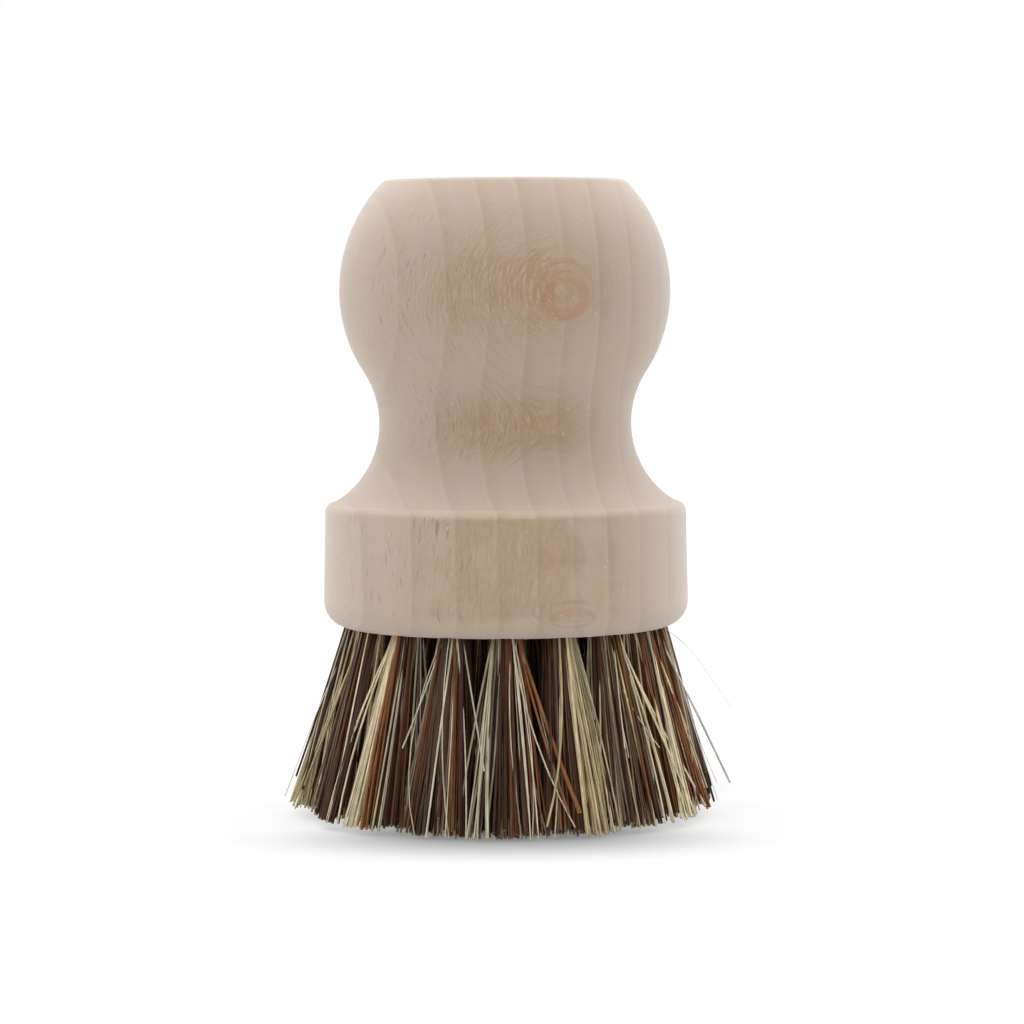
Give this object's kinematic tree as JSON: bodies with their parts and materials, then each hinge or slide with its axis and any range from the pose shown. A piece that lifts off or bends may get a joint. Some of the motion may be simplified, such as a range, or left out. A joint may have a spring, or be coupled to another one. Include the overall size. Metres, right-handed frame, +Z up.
{
  "type": "pot brush",
  "caption": "Palm-held pot brush: a round-headed wooden grip with a waist and a flat-topped knob, set below with tufts of stiff plant fibre that splay outward to level trimmed tips.",
  "frame": {"origin": "centre of the circle on which the tips of the fibres stand", "axes": "+Z up along the axis that the grip was turned on, from the tips to the flat top; -Y is the side that the first tuft of the outer ring is on"},
  "size_m": [0.0606, 0.0612, 0.0905],
  "materials": {
    "beech": "bare turned beech, unvarnished, pale pinkish beige with fine ray flecks",
    "plant_fibre": "mixed stiff plant fibres, dark brown, red brown and pale straw, slightly glossy",
    "steel_wire": "bright flat steel wire"
  },
  "bodies": {
    "root": {"body": "beech", "centre_tuft": "plant_fibre", "inner_tuft_1": "plant_fibre", "inner_tuft_2": "plant_fibre", "inner_tuft_3": "plant_fibre", "inner_tuft_4": "plant_fibre", "inner_tuft_5": "plant_fibre", "inner_tuft_6": "plant_fibre", "middle_tuft_1": "plant_fibre", "middle_tuft_2": "plant_fibre", "middle_tuft_3": "plant_fibre", "middle_tuft_4": "plant_fibre", "middle_tuft_5": "plant_fibre", "middle_tuft_6": "plant_fibre", "middle_tuft_7": "plant_fibre", "middle_tuft_8": "plant_fibre", "middle_tuft_9": "plant_fibre", "middle_tuft_10": "plant_fibre", "middle_tuft_11": "plant_fibre", "middle_tuft_12": "plant_fibre", "outer_tuft_1": "plant_fibre", "outer_tuft_2": "plant_fibre", "outer_tuft_3": "plant_fibre", "outer_tuft_4": "plant_fibre", "outer_tuft_5": "plant_fibre", "outer_tuft_6": "plant_fibre", "outer_tuft_7": "plant_fibre", "outer_tuft_8": "plant_fibre", "outer_tuft_9": "plant_fibre", "outer_tuft_10": "plant_fibre", "outer_tuft_11": "plant_fibre", "outer_tuft_12": "plant_fibre", "outer_tuft_13": "plant_fibre", "outer_tuft_14": "plant_fibre", "outer_tuft_15": "plant_fibre", "outer_tuft_16": "plant_fibre", "outer_tuft_17": "plant_fibre", "outer_tuft_18": "plant_fibre", "anchor_wires": "steel_wire"}
  },
  "joints": []
}
